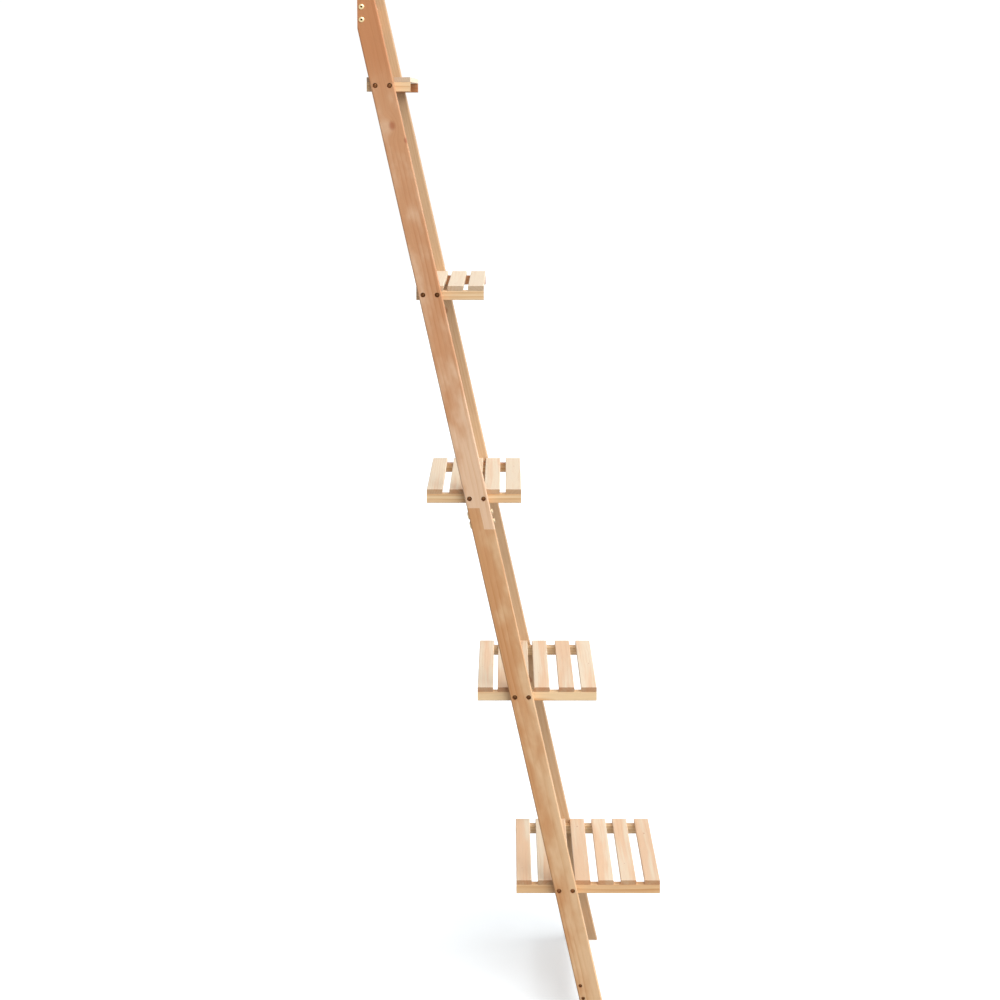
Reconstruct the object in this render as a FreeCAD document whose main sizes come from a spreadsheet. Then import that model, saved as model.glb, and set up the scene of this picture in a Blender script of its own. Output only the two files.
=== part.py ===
import FreeCAD, Part
import math
import os
import re
import Sketcher

# A five-tier ladder shelf in bare wood that leans back against a wall. Two raking rails, each
# spliced from an upper and a lower piece by a bolted half-lap, carry five slatted shelves.
#
# Millimetres, +Z up, +X to the right, the front faces -Y and the wall stands at the +Y end.
# The origin is on the floor, under the middle of the whole shelf.
# Shelves are numbered from the top, and their slats from the wall to the front.

SIZES = {
    "overall_width": 415,             # over the outer faces of the two rails
    "rail_top_height": 1800,
    "rail_end_rise": 30,              # of the rails' tops above the top cross rail
    "lean_angle": 12.6,               # of the rails from upright, in degrees
    "rail_width": 39,                 # of a rail seen from the side, square to its length
    "rail_thickness": 18,
    "rail_edge_radius": 2.5,
    "cut_margin": 4,                  # of the rails' plumb cut below the top cross rail
    "bottom_shelf_height": 243,       # floor to the top of the lowest slats
    "top_shelf_drop": 157,            # top of the rails down to the highest slats
    "bearer_height": 16,
    "bearer_thickness": 19,
    "slat_width": 27,
    "ripped_slat_width": 18,          # the one narrow slat, at the back of shelf 2
    "slat_thickness": 8,
    "slat_edge_radius": 1.2,
    "shelf_1_rear_reach": 27,         # from the rail's middle line, where the screws are, to the back
    "shelf_2_rear_reach": 24,
    "shelf_3_rear_reach": 86,
    "shelf_4_rear_reach": 77,
    "shelf_5_rear_reach": 87,
    "shelf_1_gap_1": 19,              # gaps between slats, counted from the wall
    "shelf_2_gap_1": 1,
    "shelf_2_gap_2": 7,
    "shelf_2_gap_3": 8,
    "shelf_3_gap_1": 12,
    "shelf_3_gap_2": 1,
    "shelf_3_gap_3": 5,
    "shelf_3_gap_4": 10,
    "shelf_4_gap_1": 8,
    "shelf_4_gap_2": 1,
    "shelf_4_gap_3": 9,
    "shelf_4_gap_4": 16,
    "shelf_4_gap_5": 12,
    "shelf_5_gap_1": 11,
    "shelf_5_gap_2": 3,
    "shelf_5_gap_3": 9,
    "shelf_5_gap_4": 14,
    "shelf_5_gap_5": 13,
    "shelf_5_gap_6": 15,
    "lap_drop": 6,                    # from shelf 3's bearers down to the lap's upper shoulder
    "lap_height": 37,                 # between the two level shoulders of the half-lap
    "rear_tongue": 21,                # thickness of the lower rail's half of the lap
    "bolt_spacing": 17,
    "bolt_diameter": 6,
    "bolt_head_diameter": 13,
    "bolt_head_height": 2.6,
    "nut_diameter": 10.5,
    "nut_height": 3.6,
    "nut_rim": 1.2,                   # straight side of a nut, below its dome
    "nut_thread_depth": 1.5,
    "cross_height": 44,               # of both cross rails
    "cross_thickness": 14,
    "bottom_cross_rise": 20,          # from the floor, along the rails' rear edge
    "top_cross_screw_spacing": 21,
    "bottom_cross_screw_spacing": 24,
    "cross_screw_length": 42,
    "wall_hole_diameter": 5,
    "wall_hole_spacing": 300,
    "wall_countersink_diameter": 10,
    "countersink_angle": 90,          # of every sunk flat head, over both its sides
    "screw_spacing": 24,              # the pair that holds each bearer to its rail
    "screw_rise": 10,                 # of that pair above the bearer's underside
    "screw_diameter": 4,
    "screw_length": 24,
    "screw_head_diameter": 7.6,
    "screw_head_height": 2.4,
    "head_rim": 0.6,                  # straight side of every round head, below its dome
    "screw_tip_length": 3,
    "foot_screw_head_diameter": 6,    # of the small heads through the rails' feet
    "foot_counterbore_diameter": 6.8,
    "counterbore_diameter": 8.5,
    "counterbore_depth": 3.6,
    "cap_head_diameter": 9.5,         # of the bright screws at the top of the rails
    "cap_head_height": 2.4,
    "slat_screw_diameter": 3,
    "slat_screw_bite": 5.5,           # of each slat screw into its slat
    "slat_screw_head_diameter": 6,
    "slat_screw_tip_length": 1.5,
    "slat_screw_inset": 4,            # in from the bearers' inner faces
    "hole_clearance": 0.3,            # of a hole over what runs in it, in width and in depth
}

SHELF_COUNT = 5
LAP_SHELF = 3                         # the half-laps lie just below this shelf
RIPPED_SLAT = (2, 1)                  # shelf and slat number of the narrow slat
SPREADSHEET = "Sizes"

doc = FreeCAD.newDocument("ladder_shelf")
sheet = doc.addObject("Spreadsheet::Sheet", SPREADSHEET)
for row, (name, size) in enumerate(SIZES.items(), start=1):
    sheet.set(f"A{row}", name)
    sheet.set(f"B{row}", str(size))
    sheet.setAlias(f"B{row}", name)
doc.recompute()


# ---- formulas on the sheet's cells ---------------------------------------------------------

def bound(formula):
    """The formula with each size in it written as its cell in the sheet."""
    return re.sub(r"[a-z]\w*", lambda word: f"{SPREADSHEET}.{word[0]}" if word[0] in SIZES else word[0],
                  formula)


def value(formula):
    """What the formula comes to with the sheet's present sizes."""
    return float(sheet.evalExpression(bound(formula)))


def slat_count(shelf):
    return 1 + sum(name.startswith(f"shelf_{shelf}_gap_") for name in SIZES)


def slat_width(shelf, slat):
    return "ripped_slat_width" if (shelf, slat) == RIPPED_SLAT else "slat_width"


def slat_start(shelf, slat):
    """From the shelf's rear end to the rear edge of one slat."""
    behind = [f"{slat_width(shelf, one)} + shelf_{shelf}_gap_{one}" for one in range(1, slat)]
    return "(" + " + ".join(behind or ["0"]) + ")"


def shelf_depth(shelf):
    last = slat_count(shelf)
    return f"({slat_start(shelf, last)} + {slat_width(shelf, last)})"


def shelf_top(shelf):
    """The shelves are spaced evenly between the lowest one and the highest one."""
    pitch = f"(rail_top_height - top_shelf_drop - bottom_shelf_height)/{SHELF_COUNT - 1}"
    return f"(bottom_shelf_height + {SHELF_COUNT - shelf}*{pitch})"


def bearer_bottom(shelf):
    return f"({shelf_top(shelf)} - slat_thickness - bearer_height)"


def screw_height(shelf):
    return f"({bearer_bottom(shelf)} + screw_rise)"


TOP_CROSS_BOTTOM = "(rail_top_height - rail_end_rise - cross_height)"
CUT_HEIGHT = f"({TOP_CROSS_BOTTOM} - cut_margin)"                # the plumb cut starts here
FOOT_TO_WALL = f"({CUT_HEIGHT}*tan(lean_angle))"                 # of the rails' rear edge
LAP_TOP = f"({bearer_bottom(LAP_SHELF)} - lap_drop)"
LAP_BOTTOM = f"({LAP_TOP} - lap_height)"


def middle_to_wall(height):
    """From the rails' middle line to the wall, at a height."""
    return f"(rail_width/(2*cos(lean_angle)) + ({CUT_HEIGHT} - {height})*tan(lean_angle))"


def rear_to_wall(shelf):
    return f"({middle_to_wall(screw_height(shelf))} - shelf_{shelf}_rear_reach)"


# The lowest shelf reaches furthest forward, and half of that reach puts the origin in the middle.
WALL_Y = f"(({rear_to_wall(SHELF_COUNT)} + {shelf_depth(SHELF_COUNT)})/2)"


# A rail's own frame has its Z along the rail's rear edge, from the floor up, and its Y square to
# that edge, towards the wall. These two turn a level height into places in that frame.

def along(height, inward="0"):
    """Up the rail to a height, at a depth in from its rear edge."""
    return f"(({height} - ({inward})*sin(lean_angle))/cos(lean_angle))"


def top_corner_inward():
    """In from the rear edge line to where the plumb cut meets the top."""
    return f"((rail_top_height - {CUT_HEIGHT})*sin(lean_angle))"


# ---- helpers for bodies and sketches -------------------------------------------------------

def new_body(name, x="0", y="0", z="0", tilt=None):
    """A body whose place follows the sheet, leaning back by the tilt if one is given."""
    body = doc.addObject("PartDesign::Body", name)
    body.Label = name
    if tilt:
        body.Placement.Rotation = FreeCAD.Rotation(FreeCAD.Vector(-1, 0, 0), value(tilt))
        body.setExpression("Placement.Rotation.Angle", bound(tilt))
    for axis, formula in zip("xyz", (x, y, z)):
        body.setExpression(f"Placement.Base.{axis}", bound(formula))
    return body


def new_sketch(body, plane_role, lift="0"):
    """A sketch on one of the body's origin planes, or lifted off it along its normal."""
    sketch = body.newObject("Sketcher::SketchObject", f"{body.Name}_sketch")
    plane = next(item for item in body.Origin.OriginFeatures if item.Role == plane_role)
    sketch.AttachmentSupport = (plane, [""])
    sketch.MapMode = "FlatFace"
    sketch.setExpression("AttachmentOffset.Base.z", bound(lift))
    return sketch


def pin(sketch, element, point, x, y):
    """Fixes a point of a sketch element at formulas measured from the sketch's origin."""
    for kind, formula, axis in (("DistanceX", x, -2), ("DistanceY", y, -1)):
        if formula == "0":
            sketch.addConstraint(Sketcher.Constraint("PointOnObject", element, point, axis))
            continue
        added = sketch.addConstraint(Sketcher.Constraint(kind, -1, 1, element, point, value(formula)))
        sketch.setExpression(f"Constraints[{added}]", bound(formula))


def add_outline(sketch, corners, dome=None):
    """A closed outline through the corners. The side after corner number `dome` is an arc whose
    centre is on the sketch's vertical axis; every other side is straight."""
    places = [FreeCAD.Vector(value(x), value(y), 0) for x, y in corners]
    for number, start in enumerate(places):
        end = places[(number + 1) % len(places)]
        if number == dome:
            sketch.addGeometry(dome_arc(start, end), False)
        else:
            sketch.addGeometry(Part.LineSegment(start, end), False)
    for number, (x, y) in enumerate(corners):
        after = (number + 1) % len(corners)
        sketch.addConstraint(Sketcher.Constraint("Coincident", number, 2, after, 1))
        if number != dome:
            pin(sketch, number, 1, x, y)
    if dome is not None:
        pin(sketch, dome, 1, *corners[dome])
        sketch.addConstraint(Sketcher.Constraint("PointOnObject", dome, 3, -2))


def dome_arc(rim, crown):
    """The arc from a head's rim up to its crown on the axis."""
    rise = crown.y - rim.y
    radius = (rim.x**2 + rise**2)/(2*rise)
    centre = FreeCAD.Vector(0, crown.y - radius, 0)
    circle = Part.Circle(centre, FreeCAD.Vector(0, 0, 1), radius)
    return Part.ArcOfCircle(circle, math.atan2(rim.y - centre.y, rim.x), math.pi/2)


def add_holes(sketch, places, diameter):
    for x, y in places:
        centre = FreeCAD.Vector(value(x), value(y), 0)
        circle = Part.Circle(centre, FreeCAD.Vector(0, 0, 1), value(diameter)/2)
        number = sketch.addGeometry(circle, False)
        pin(sketch, number, 3, x, y)
        added = sketch.addConstraint(Sketcher.Constraint("Diameter", number, value(diameter)))
        sketch.setExpression(f"Constraints[{added}]", bound(diameter))


def pad(body, corners, length):
    """The outline in the body's YZ plane, made solid along its X."""
    sketch = new_sketch(body, "YZ_Plane")
    add_outline(sketch, corners)
    feature = body.newObject("PartDesign::Pad", f"{body.Name}_pad")
    feature.Profile = sketch
    feature.setExpression("Length", bound(length))
    sketch.Visibility = False
    doc.recompute()
    return feature


def drill(body, plane_role, places, diameter, depth=None, cut=None, lift="0"):
    """Round holes from one of the body's origin planes into the wood, or back towards that plane
    from a sketch lifted off it. The cut is a counterbore or countersink: its kind and diameter
    and, for a counterbore, its depth."""
    sketch = new_sketch(body, plane_role, lift)
    add_holes(sketch, places, diameter)
    doc.recompute()
    before = body.Shape.Volume
    hole = body.newObject("PartDesign::Hole", f"{body.Name}_holes")
    hole.Profile = sketch
    hole.ThreadType = "None"
    hole.DrillPoint = "Flat"
    hole.Reversed = lift == "0"
    hole.setExpression("Diameter", bound(diameter))
    hole.DepthType = "Dimension" if depth else "ThroughAll"
    if depth:
        hole.setExpression("Depth", bound(depth))
    if cut:
        hole.HoleCutType = cut[0]
        hole.HoleCutCustomValues = True
        hole.setExpression("HoleCutDiameter", bound(cut[1]))
    if cut and cut[0] == "Counterbore":
        hole.setExpression("HoleCutDepth", bound(cut[2]))
    if cut and cut[0] == "Countersink":
        hole.setExpression("HoleCutCountersinkAngle", bound("countersink_angle"))
    sketch.Visibility = False
    doc.recompute()
    if not hole.Shape.Volume < before:
        raise RuntimeError(f"{body.Label}: the holes cut nothing")


def round_edges(body, feature, radius, wanted):
    """Rounds the edges of a feature that the test picks."""
    names = [f"Edge{number}" for number, edge in enumerate(feature.Shape.Edges, start=1) if wanted(edge)]
    fillet = body.newObject("PartDesign::Fillet", f"{body.Name}_rounding")
    fillet.Base = (feature, names)
    fillet.setExpression("Radius", bound(radius))
    doc.recompute()
    return fillet


def runs_along(axis):
    """Picks the straight edges that run along one axis of the body."""
    def wanted(edge):
        direction = edge.Vertexes[-1].Point - edge.Vertexes[0].Point
        return direction.Length > 0 and abs(direction.normalize().dot(axis)) > 0.999
    return wanted


def mirrored(body, name):
    """The same piece on the other side of the middle plane."""
    twin = doc.addObject("Part::Mirroring", name)
    twin.Label = name
    twin.Source = body
    twin.Normal = FreeCAD.Vector(1, 0, 0)
    return twin


# ---- rails ----------------------------------------------------------------------------------

LEFT_FACE = "-overall_width/2"
RAIL_INNER_X = "(rail_thickness - overall_width/2)"
REAR_EDGE_FOOT_Y = f"({WALL_Y} - {FOOT_TO_WALL})"
SCREW_HOLE = "screw_diameter + hole_clearance"
COUNTERBORE = ("Counterbore", "counterbore_diameter", "counterbore_depth")


def bearer_screw_places(shelf):
    """The pair of screws through a rail, level with each other, in the rail's own frame."""
    middle = along(screw_height(shelf), "rail_width/2")
    side = "screw_spacing/2"
    return [(f"-rail_width/2 {sign} {side}*cos(lean_angle)", f"{middle} {sign} {side}*sin(lean_angle)")
            for sign in "+-"]


def lap_bolt_heights():
    """Where the two lap bolts cross the rail, along its length."""
    middle = along(f"{LAP_BOTTOM} + lap_height/2", "rail_width/2")
    return [f"{middle} {sign} bolt_spacing/2" for sign in "+-"]


def finish_rail(body, blank, shelves):
    """Rounds a rail's long edges and drills it for its bearers and the lap bolts."""
    long_edges = runs_along(FreeCAD.Vector(0, 0, 1))
    outer = (0, value("rail_thickness"))
    faces = (0, -value("rail_width"))

    def wanted(edge):
        place = edge.CenterOfMass
        return (long_edges(edge) and any(abs(place.x - x) < 0.01 for x in outer)
                and any(abs(place.y - y) < 0.01 for y in faces))

    round_edges(body, blank, "rail_edge_radius", wanted)
    places = [place for shelf in shelves for place in bearer_screw_places(shelf)]
    drill(body, "YZ_Plane", places, SCREW_HOLE, cut=COUNTERBORE)
    bolts = [("rail_thickness/2", height) for height in lap_bolt_heights()]
    drill(body, "XZ_Plane", bolts, "bolt_diameter + hole_clearance")


def make_upper_rail():
    """From the lap to the top, with the plumb cut that lies against the wall."""
    body = new_body("left_upper_rail", LEFT_FACE, REAR_EDGE_FOOT_Y, "0", "lean_angle")
    inward = top_corner_inward()
    corners = [("0", along(LAP_TOP)),
               ("0", along(CUT_HEIGHT)),
               (f"-{inward}", along("rail_top_height", inward)),
               ("-rail_width", along("rail_top_height", "rail_width")),
               ("-rail_width", along(LAP_BOTTOM, "rail_width")),
               ("-rear_tongue", along(LAP_BOTTOM, "rear_tongue")),
               ("-rear_tongue", along(LAP_TOP, "rear_tongue"))]
    blank = pad(body, corners, "rail_thickness")
    finish_rail(body, blank, range(1, LAP_SHELF + 1))
    inset = "cross_thickness/2"
    heights = [f"{TOP_CROSS_MIDDLE} {sign} top_cross_screw_spacing/2" for sign in "+-"]
    places = [(f"-({plumb_inward(height, inset)})", plumb_along(height, inset)) for height in heights]
    drill(body, "YZ_Plane", places, SCREW_HOLE)
    return body


def make_lower_rail():
    """From the floor up to the lap."""
    body = new_body("left_lower_rail", LEFT_FACE, REAR_EDGE_FOOT_Y, "0", "lean_angle")
    corners = [("0", "0"),
               ("0", along(LAP_TOP)),
               ("-rear_tongue", along(LAP_TOP, "rear_tongue")),
               ("-rear_tongue", along(LAP_BOTTOM, "rear_tongue")),
               ("-rail_width", along(LAP_BOTTOM, "rail_width")),
               ("-rail_width", along("0", "rail_width"))]
    blank = pad(body, corners, "rail_thickness")
    finish_rail(body, blank, range(LAP_SHELF + 1, SHELF_COUNT + 1))
    drill(body, "YZ_Plane", [("-cross_thickness/2", height) for height in bottom_cross_screw_heights()],
          SCREW_HOLE, cut=("Counterbore", "foot_counterbore_diameter", "counterbore_depth"))
    return body


# ---- cross rails ----------------------------------------------------------------------------

TOP_CROSS_MIDDLE = f"({TOP_CROSS_BOTTOM} + cross_height/2)"
CROSS_LENGTH = "(overall_width - 2*rail_thickness)"
END_HOLE_DEPTH = "(cross_screw_length - rail_thickness + hole_clearance)"
SUNK_END_HOLE_DEPTH = "(cross_screw_length - rail_thickness + counterbore_depth + hole_clearance)"


def plumb_inward(height, off_wall):
    """In from the rear edge line, at a height, for a place held off the wall."""
    return f"({height} - {CUT_HEIGHT})*sin(lean_angle) + ({off_wall})*cos(lean_angle)"


def plumb_along(height, off_wall):
    return f"({FOOT_TO_WALL} - ({off_wall}))*sin(lean_angle) + ({height})*cos(lean_angle)"


def bottom_cross_screw_heights():
    middle = "bottom_cross_rise + cross_height/2"
    return [f"({middle} {sign} bottom_cross_screw_spacing/2)" for sign in "+-"]


def drill_both_ends(body, places, depth):
    """Pilot holes into the end grain, from the left end and, mirrored, from the right one."""
    drill(body, "YZ_Plane", places, SCREW_HOLE, depth)
    near = body.Tip
    mirror = body.newObject("PartDesign::Mirrored", f"{body.Name}_other_end")
    mirror.Originals = [near]
    middle = body.newObject("PartDesign::Plane", f"{body.Name}_middle")
    plane = next(item for item in body.Origin.OriginFeatures if item.Role == "YZ_Plane")
    middle.AttachmentSupport = (plane, [""])
    middle.MapMode = "FlatFace"
    middle.setExpression("AttachmentOffset.Base.z", bound(f"{CROSS_LENGTH}/2"))
    middle.Visibility = False
    mirror.MirrorPlane = (middle, [""])
    body.Tip = mirror
    doc.recompute()


def make_cross_rail(name, y, z, tilt, screw_heights, depth):
    """A board on edge between the rails, flush with their rear faces."""
    body = new_body(name, RAIL_INNER_X, y, z, tilt)
    corners = [("0", "0"), ("0", "cross_height"), ("-cross_thickness", "cross_height"),
               ("-cross_thickness", "0")]
    blank = pad(body, corners, CROSS_LENGTH)
    round_edges(body, blank, "slat_edge_radius", runs_along(FreeCAD.Vector(1, 0, 0)))
    drill_both_ends(body, [("-cross_thickness/2", height) for height in screw_heights], depth)
    return body


def make_top_cross_rail():
    """Upright against the wall, with two countersunk holes for screws into the wall."""
    heights = [f"cross_height/2 {sign} top_cross_screw_spacing/2" for sign in "+-"]
    body = make_cross_rail("top_cross_rail", WALL_Y, TOP_CROSS_BOTTOM, None, heights, END_HOLE_DEPTH)
    places = [(f"{CROSS_LENGTH}/2 {sign} wall_hole_spacing/2", "cross_height/2") for sign in "+-"]
    drill(body, "XZ_Plane", places, "wall_hole_diameter",
          cut=("Countersink", "wall_countersink_diameter"), lift="cross_thickness")
    return body


def make_bottom_cross_rail():
    """Leaning with the rails, near the floor."""
    y = f"{REAR_EDGE_FOOT_Y} + bottom_cross_rise*sin(lean_angle)"
    z = "bottom_cross_rise*cos(lean_angle)"
    heights = [f"cross_height/2 {sign} bottom_cross_screw_spacing/2" for sign in "+-"]
    return make_cross_rail("bottom_cross_rail", y, z, "lean_angle", heights, SUNK_END_HOLE_DEPTH)


# ---- shelves --------------------------------------------------------------------------------

def shelf_rear_y(shelf):
    return f"({WALL_Y} - {rear_to_wall(shelf)})"


def slat_middle(shelf, slat):
    """From the shelf's rear end to the middle of one slat."""
    return f"({slat_start(shelf, slat)} + {slat_width(shelf, slat)}/2)"


def make_bearer(shelf):
    """The stick under one end of a shelf's slats, screwed to the inside of its rail."""
    body = new_body(f"shelf_{shelf}_left_bearer", RAIL_INNER_X, shelf_rear_y(shelf), bearer_bottom(shelf))
    depth = shelf_depth(shelf)
    corners = [("0", "0"), ("0", "bearer_height"), (f"-{depth}", "bearer_height"), (f"-{depth}", "0")]
    blank = pad(body, corners, "bearer_thickness")
    round_edges(body, blank, "slat_edge_radius", runs_along(FreeCAD.Vector(0, 1, 0)))
    reach = f"shelf_{shelf}_rear_reach"
    places = [(f"-({reach} {sign} screw_spacing/2)", "screw_rise") for sign in "+-"]
    bite = "screw_length - rail_thickness + counterbore_depth + hole_clearance"
    drill(body, "YZ_Plane", places, SCREW_HOLE, bite)
    row_x = "bearer_thickness - slat_screw_inset"
    upright = [(row_x, f"-{slat_middle(shelf, slat)}") for slat in range(1, slat_count(shelf) + 1)]
    drill(body, "XY_Plane", upright, "slat_screw_diameter + hole_clearance",
          cut=("Countersink", "slat_screw_head_diameter + hole_clearance"))
    return body


def slat_screw_x():
    """From a shelf's left end to each of the two slat screws."""
    inset = "(bearer_thickness - slat_screw_inset)"
    return [inset, f"({CROSS_LENGTH} - {inset})"]


def make_slat(shelf, slat):
    """One board of a shelf, laid across its two bearers."""
    y = f"{shelf_rear_y(shelf)} - {slat_start(shelf, slat)}"
    body = new_body(f"shelf_{shelf}_slat_{slat}", RAIL_INNER_X, y, f"{shelf_top(shelf)} - slat_thickness")
    width = slat_width(shelf, slat)
    corners = [("0", "0"), ("0", "slat_thickness"), (f"-{width}", "slat_thickness"), (f"-{width}", "0")]
    blank = pad(body, corners, CROSS_LENGTH)
    round_edges(body, blank, "slat_edge_radius", runs_along(FreeCAD.Vector(1, 0, 0)))
    places = [(x, f"-{width}/2") for x in slat_screw_x()]
    drill(body, "XY_Plane", places, "slat_screw_diameter + hole_clearance",
          "slat_screw_bite + hole_clearance")
    return body


# ---- fasteners ------------------------------------------------------------------------------

def make_screw(name, diameter, length, tip, head_diameter, head_height):
    """A round-headed fastener turned about Z: its head sits on the plane Z = 0 and its shank hangs
    below, to a point over the length of its tip."""
    body = new_body(name)
    sketch = new_sketch(body, "XZ_Plane")
    rim, crown = (f"{head_diameter}/2", "head_rim"), ("0", head_height)
    corners = [("0", f"-{length}"), (f"{diameter}/2", f"{tip} - {length}"), (f"{diameter}/2", "0"),
               (f"{head_diameter}/2", "0"), rim, crown]
    add_outline(sketch, corners, dome=corners.index(rim))
    return revolve(body, sketch)


def make_slat_screw():
    """A countersunk screw, its flat head flush with the plane Z = 0."""
    body = new_body("slat_screw")
    sketch = new_sketch(body, "XZ_Plane")
    length = "(bearer_height + slat_screw_bite)"
    cone = "((slat_screw_head_diameter - slat_screw_diameter)/(2*tan(countersink_angle/2)))"
    corners = [("0", f"-{length}"), ("slat_screw_diameter/2", f"slat_screw_tip_length - {length}"),
               ("slat_screw_diameter/2", f"-{cone}"), ("slat_screw_head_diameter/2", "0"), ("0", "0")]
    add_outline(sketch, corners)
    return revolve(body, sketch)


def make_cap_nut():
    """A low domed nut, bored from below for the end of its bolt."""
    body = new_body("cap_nut")
    sketch = new_sketch(body, "XZ_Plane")
    bore = "(bolt_diameter + hole_clearance)/2"
    depth = "(nut_thread_depth + hole_clearance)"
    rim = ("nut_diameter/2", "nut_rim")
    corners = [(bore, "0"), ("nut_diameter/2", "0"), rim, ("0", "nut_height"), ("0", depth), (bore, depth)]
    add_outline(sketch, corners, dome=corners.index(rim))
    return revolve(body, sketch)


def revolve(body, sketch):
    turned = body.newObject("PartDesign::Revolution", f"{body.Name}_turning")
    turned.Profile = sketch
    turned.ReferenceAxis = (sketch, ["V_Axis"])
    turned.Angle = 360
    sketch.Visibility = False
    doc.recompute()
    return body


def fastener_group(name, pattern, places):
    """Copies of one fastener in one node. Each place is where its head seats and which way the
    head faces."""
    copies = []
    for seat, facing in places:
        turn = FreeCAD.Rotation(FreeCAD.Vector(0, 0, 1), facing)
        copies.append(pattern.Shape.transformed(FreeCAD.Placement(seat, turn).toMatrix(), copy=True))
    group = doc.addObject("Part::Feature", name)
    group.Label = name
    group.Shape = Part.makeCompound(copies)
    return group


LEFT = FreeCAD.Vector(-1, 0, 0)
DOWN = FreeCAD.Vector(0, 0, -1)


def rail_point(inward, up):
    """A place in the left rail's frame, on its outer face, as a place in the whole shelf."""
    lean = math.radians(value("lean_angle"))
    inward, up = value(inward), value(up)
    return FreeCAD.Vector(value(LEFT_FACE),
                          value(REAR_EDGE_FOOT_Y) + up*math.sin(lean) - inward*math.cos(lean),
                          up*math.cos(lean) + inward*math.sin(lean))


def across(point):
    """The same on the other side of the shelf."""
    return FreeCAD.Vector(-point.x, point.y, point.z)


def both_sides(seats, facing):
    """The seats and the same on the right, where the heads face the other way."""
    places = []
    for seat in seats:
        places.append((seat, facing))
        places.append((across(seat), across(facing)))
    return places


def sunk(seat):
    """The same seat at the bottom of its counterbore."""
    return seat + FreeCAD.Vector(value("counterbore_depth"), 0, 0)


def rail_screw_seats(shelf):
    middle_y = value(f"{shelf_rear_y(shelf)} - shelf_{shelf}_rear_reach")
    half = value("screw_spacing/2")
    return [sunk(FreeCAD.Vector(value(LEFT_FACE), middle_y + side, value(screw_height(shelf))))
            for side in (half, -half)]


def slat_screw_places(shelf):
    """Under each end of each slat, heads down against the bearers."""
    left = value(RAIL_INNER_X)
    return [(FreeCAD.Vector(left + value(x), value(f"{shelf_rear_y(shelf)} - {slat_middle(shelf, slat)}"),
                            value(bearer_bottom(shelf))), DOWN)
            for slat in range(1, slat_count(shelf) + 1) for x in slat_screw_x()]


def make_fasteners():
    screw = make_screw("rail_screw", "screw_diameter", "screw_length", "screw_tip_length",
                       "screw_head_diameter", "screw_head_height")
    long_screw = make_screw("long_screw", "screw_diameter", "cross_screw_length", "screw_tip_length",
                            "foot_screw_head_diameter", "screw_head_height")
    cap_screw = make_screw("cap_screw", "screw_diameter", "cross_screw_length", "screw_tip_length",
                           "cap_head_diameter", "cap_head_height")
    slat_screw = make_slat_screw()
    bolt = make_screw("lap_bolt", "bolt_diameter", "(rail_width + nut_thread_depth)", "0",
                      "bolt_head_diameter", "bolt_head_height")
    nut = make_cap_nut()
    groups = []
    for shelf in range(1, SHELF_COUNT + 1):
        seats = both_sides(rail_screw_seats(shelf), LEFT)
        groups.append(fastener_group(f"shelf_{shelf}_rail_screws", screw, seats))
        groups.append(fastener_group(f"shelf_{shelf}_slat_screws", slat_screw, slat_screw_places(shelf)))
    groups += make_cross_screws(cap_screw, long_screw)
    return groups + make_lap_fasteners(bolt, nut)


def make_cross_screws(cap_screw, long_screw):
    wall_side = value(f"{WALL_Y} - cross_thickness/2")
    half, middle = value("top_cross_screw_spacing/2"), value(TOP_CROSS_MIDDLE)
    top = [FreeCAD.Vector(value(LEFT_FACE), wall_side, middle + step) for step in (half, -half)]
    bottom = [sunk(rail_point("cross_thickness/2", height)) for height in bottom_cross_screw_heights()]
    return [fastener_group("top_cross_rail_screws", cap_screw, both_sides(top, LEFT)),
            fastener_group("bottom_cross_rail_screws", long_screw, both_sides(bottom, LEFT))]


def make_lap_fasteners(bolt, nut):
    """Bolts from behind, square to the rails, with a nut on each at the front."""
    lean = math.radians(value("lean_angle"))
    rearward = FreeCAD.Vector(0, math.cos(lean), -math.sin(lean))
    middle = FreeCAD.Vector(value("rail_thickness/2"), 0, 0)
    rear = [rail_point("0", height) + middle for height in lap_bolt_heights()]
    front = [rail_point("rail_width", height) + middle for height in lap_bolt_heights()]
    return [fastener_group("lap_bolts", bolt, both_sides(rear, rearward)),
            fastener_group("lap_nuts", nut, both_sides(front, -rearward))]


# ---- the whole shelf ------------------------------------------------------------------------

def make_shelf(shelf):
    bearer = make_bearer(shelf)
    pieces = [bearer, mirrored(bearer, f"shelf_{shelf}_right_bearer")]
    return pieces + [make_slat(shelf, slat) for slat in range(1, slat_count(shelf) + 1)]


def make_rails():
    pieces = []
    for rail in (make_upper_rail(), make_lower_rail()):
        pieces += [rail, mirrored(rail, rail.Label.replace("left", "right"))]
    return pieces + [make_top_cross_rail(), make_bottom_cross_rail()]


def check(pieces):
    """Stops before anything is written if a feature or a piece is unsound."""
    failed = [item.Label for item in doc.Objects if {"Invalid", "Error"} & set(item.State)]
    if failed:
        raise RuntimeError(f"failed features: {failed}")
    for piece in pieces:
        if piece.Shape.isNull() or not piece.Shape.isValid() or not piece.Shape.Solids:
            raise RuntimeError(f"{piece.Label}: its shape is unsound")


def main():
    pieces = make_rails()
    for shelf in range(1, SHELF_COUNT + 1):
        pieces += make_shelf(shelf)
    pieces += make_fasteners()
    doc.recompute()
    check(pieces)
    os.makedirs("parts", exist_ok=True)
    for piece in pieces:
        piece.Shape.exportStep(f"parts/{piece.Label}.step")
    print(f"{len(pieces)} pieces written")


main()
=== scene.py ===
"""The looks of a five-shelf ladder shelf in bare red cedar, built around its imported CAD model.

Everything is in metres in the CAD's own frame: +Z up, the front faces -Y, the wall stands at the
+Y end, and the origin is on the floor under the middle of the shelf. The wooden pieces keep their
CAD meshes and get solid wood materials, which are cut from a board with its growth rings running
through it, so faces and ends agree. The screws, bolts and nuts are worked out again with their
driver recesses. Where a number is a size, a comment or the name says of what.
"""

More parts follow.
